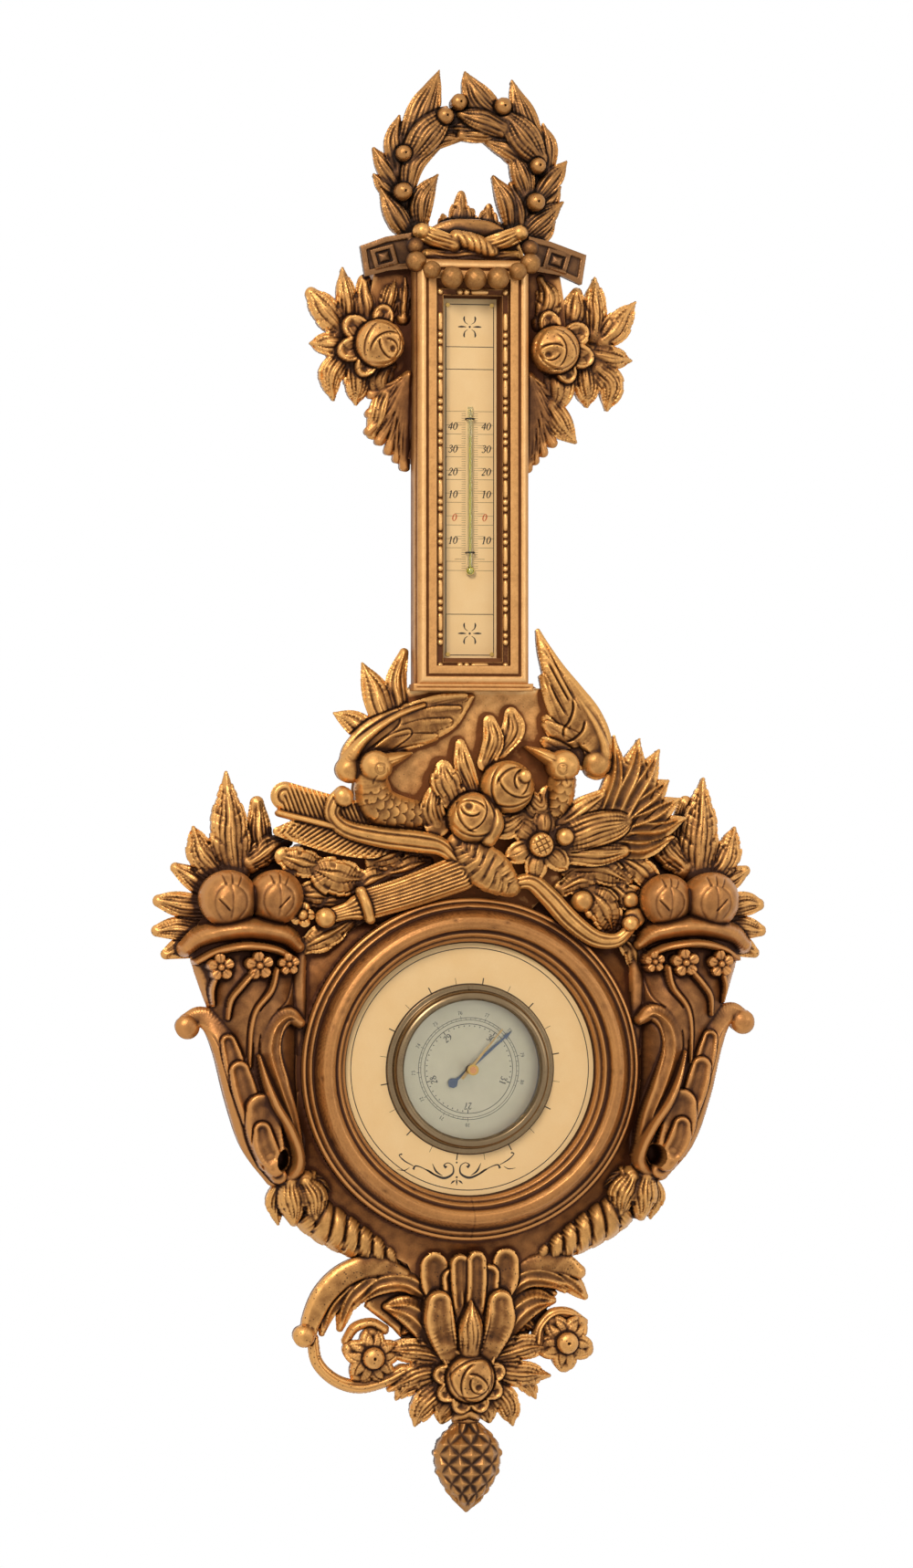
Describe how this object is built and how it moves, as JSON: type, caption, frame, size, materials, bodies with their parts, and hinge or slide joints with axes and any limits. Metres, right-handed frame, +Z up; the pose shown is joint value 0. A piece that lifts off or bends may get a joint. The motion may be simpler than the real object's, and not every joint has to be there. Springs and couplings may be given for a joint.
{
  "type": "wall barometer",
  "caption": "Tall carved giltwood wall barometer: wreath crest, thermometer case, doves and trophy, round aneroid dial between horns of plenty, pine-cone pendant.",
  "frame": {"origin": "centre of the hanging hole in the hanger plate, on the wall plane", "axes": "+Z up, +X to the viewer's right, +Y into the wall; the carved front faces -Y"},
  "size_m": [0.3885, 0.058, 0.9027],
  "materials": {
    "raw_wood": "plain aged softwood board, waxed, left bare at the back",
    "gilt": "carved wood with aged gold leaf over red-brown bole, dark in the hollows",
    "gilt_bright": "wood with burnished gold leaf, lightly worn",
    "card": "printed card, aged cream",
    "brass": "turned and lacquered brass, dulled",
    "silvered": "silvered brass, matt",
    "steel": "plain steel, lightly darkened",
    "blued_steel": "heat-blued steel",
    "black_wire": "black japanned iron wire",
    "glass": "clear glass",
    "spirit": "yellow-green tinted spirit in the tube"
  },
  "bodies": {
    "frame": {"backboard": "raw_wood", "hanger_plate": "brass", "hanger_screws": "steel", "thermometer_case": "gilt_bright", "bead_slip": "gilt_bright", "scale_plate": "card", "plate_pins": "brass", "thermometer_tube": "glass", "spirit_column": "spirit", "tube_clips": "black_wire", "dial_ring": "gilt", "dial_card": "card", "bezel": "brass", "bezel_screws": "brass", "dial_glass": "glass", "glass_ring": "brass", "aneroid_case": "brass", "silvered_dial": "silvered", "movement_plate": "brass", "vacuum_capsule": "silvered", "spring_bridge": "steel", "mainspring": "steel", "arbor_bridge": "brass", "hairspring": "blued_steel", "chain": "brass", "crest_wreath": "gilt", "crest_flame": "gilt", "ribbon_knot": "gilt", "pearl_swag": "gilt", "fret_band": "gilt", "rose_spray_left": "gilt", "rose_spray_right": "gilt", "shell_flutes": "gilt", "trophy_ground": "gilt", "dove_left": "gilt", "dove_right": "gilt", "bouquet": "gilt", "arrow": "gilt", "bow": "gilt", "quiver": "gilt", "torch_plume": "gilt", "daisy": "gilt", "garland_leaves": "gilt", "horn_left": "gilt", "horn_right": "gilt", "fruit_left": "gilt", "fruit_right": "gilt", "foliage_left": "gilt", "foliage_right": "gilt", "rope_left": "gilt", "rope_right": "gilt", "pendant_acanthus": "gilt", "pendant_flowers": "gilt", "pine_cone": "gilt"},
    "hand": {"pressure_hand": "blued_steel", "hand_arbor": "steel"},
    "rocker": {"rocker_shaft": "steel"},
    "lever": {"main_lever": "steel"},
    "set_pointer": {"set_hand": "brass"},
    "regulator": {"adjusting_screw": "steel"}
  },
  "joints": [
    {"name": "hand_turn", "type": "hinge", "parent": "frame", "child": "hand", "pos_m": [0, 0, -0.491], "axis": [0, 1, 0], "range_deg": [-228.5, 59.5], "stiffness_Nm_per_rad": 0.0002},
    {"name": "rocker_turn", "type": "hinge", "parent": "frame", "child": "rocker", "pos_m": [0.028, -0.018, -0.491], "axis": [0, 0, 1], "range_deg": [-9, 34]},
    {"name": "lever_turn", "type": "hinge", "parent": "frame", "child": "lever", "pos_m": [-0.022, -0.0213, -0.491], "axis": [0, 0, 1], "range_deg": [-2.3, 0.6]},
    {"name": "set_hand_turn", "type": "hinge", "parent": "frame", "child": "set_pointer", "pos_m": [0, 0, -0.491], "axis": [0, 1, 0], "continuous": true},
    {"name": "regulator_turn", "type": "hinge", "parent": "frame", "child": "regulator", "pos_m": [-0.03, 0, -0.491], "axis": [0, 1, 0], "range_deg": [-360, 360]}
  ],
  "couplings": [
    {"joint": "rocker_turn", "follows": "hand_turn", "ratio": -0.1447},
    {"joint": "lever_turn", "follows": "hand_turn", "ratio": 0.0086}
  ]
}
